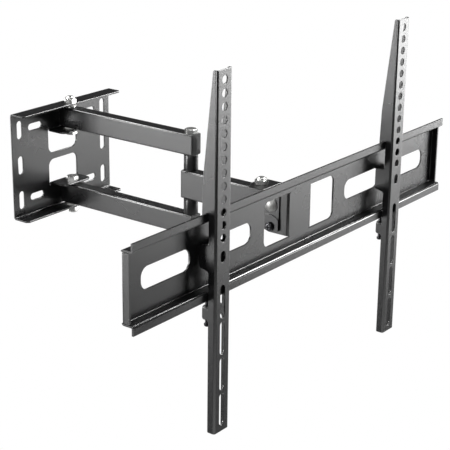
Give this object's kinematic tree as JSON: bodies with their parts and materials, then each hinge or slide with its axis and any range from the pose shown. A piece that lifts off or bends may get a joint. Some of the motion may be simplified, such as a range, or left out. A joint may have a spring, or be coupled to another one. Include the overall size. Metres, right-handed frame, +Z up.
{
  "type": "tv wall mount",
  "caption": "Full-motion wall mount for a television: slotted wall plate, double and single swivel arm, tilting head, slotted rail and two hook-on upright brackets.",
  "frame": {"origin": "centre of the wall plate's back face, where it lies on the wall", "axes": "+X to the right along the wall seen from the room, +Y into the wall, +Z up; the arms stand straight out along -Y"},
  "size_m": [0.7, 0.4554, 0.459],
  "materials": {
    "black_steel": "satin",
    "zinc_steel": "gloss",
    "white_nylon": "satin",
    "black_plastic": "matte",
    "black_screw_steel": "satin"
  },
  "bodies": {
    "wall_side": {"wall_plate": "black_steel", "wall_bolt_upper": "zinc_steel", "wall_bolt_lower": "zinc_steel", "wall_nut_upper": "zinc_steel", "wall_nut_lower": "zinc_steel", "upper_wall_washer_top": "white_nylon", "upper_wall_washer_bottom": "white_nylon", "lower_wall_washer_top": "white_nylon", "lower_wall_washer_bottom": "white_nylon"},
    "rear_arm": {"upper_arm_tube": "black_steel", "lower_arm_tube": "black_steel", "upper_wall_sleeve": "zinc_steel", "lower_wall_sleeve": "zinc_steel", "upper_elbow_sleeve": "zinc_steel", "lower_elbow_sleeve": "zinc_steel", "upper_arm_cap": "black_plastic", "lower_arm_cap": "black_plastic", "elbow_bolt": "zinc_steel", "elbow_nut": "zinc_steel", "upper_elbow_spacer": "black_steel", "lower_elbow_spacer": "black_steel", "upper_elbow_washer": "black_plastic", "lower_elbow_washer": "black_plastic"},
    "front_arm": {"front_arm_tube": "black_steel", "front_elbow_sleeve": "zinc_steel", "front_head_sleeve": "zinc_steel", "front_elbow_cap": "black_plastic", "front_head_cap": "black_plastic"},
    "head": {"swivel_bracket": "black_steel", "swivel_bolt": "zinc_steel", "swivel_nut": "zinc_steel", "upper_swivel_washer": "white_nylon", "lower_swivel_washer": "white_nylon", "tilt_bolt": "zinc_steel", "tilt_nut": "zinc_steel", "tilt_spacer_tube": "black_steel", "left_tilt_washer": "white_nylon", "right_tilt_washer": "white_nylon", "left_lock_washer": "white_nylon", "right_lock_washer": "white_nylon", "left_lock_screw": "black_screw_steel", "right_lock_screw": "black_screw_steel", "left_lock_nut": "zinc_steel", "right_lock_nut": "zinc_steel", "left_clamp_plate": "black_steel", "right_clamp_plate": "black_steel"},
    "rail": {"rail": "black_steel"},
    "left_bracket": {"left_tv_bracket": "black_steel", "left_safety_screw": "black_screw_steel"},
    "right_bracket": {"right_tv_bracket": "black_steel", "right_safety_screw": "black_screw_steel"}
  },
  "joints": [
    {"name": "wall_swing", "type": "hinge", "parent": "wall_side", "child": "rear_arm", "pos_m": [0, -0.02, 0], "axis": [0, 0, 1], "range_deg": [-90, 90]},
    {"name": "elbow_fold", "type": "hinge", "parent": "rear_arm", "child": "front_arm", "pos_m": [0, -0.246, 0], "axis": [0, 0, -1], "range_deg": [-105, 105]},
    {"name": "head_swivel", "type": "hinge", "parent": "front_arm", "child": "head", "pos_m": [0, -0.366, 0], "axis": [0, 0, 1], "range_deg": [-90, 90]},
    {"name": "rail_tilt", "type": "hinge", "parent": "head", "child": "rail", "pos_m": [0, -0.402, 0.01], "axis": [1, 0, 0], "range_deg": [-5, 10]},
    {"name": "left_bracket_slide", "type": "slide", "parent": "rail", "child": "left_bracket", "axis": [1, 0, 0], "range_m": [-0.124, 0.15]},
    {"name": "right_bracket_slide", "type": "slide", "parent": "rail", "child": "right_bracket", "axis": [-1, 0, 0], "range_m": [-0.124, 0.15]}
  ]
}
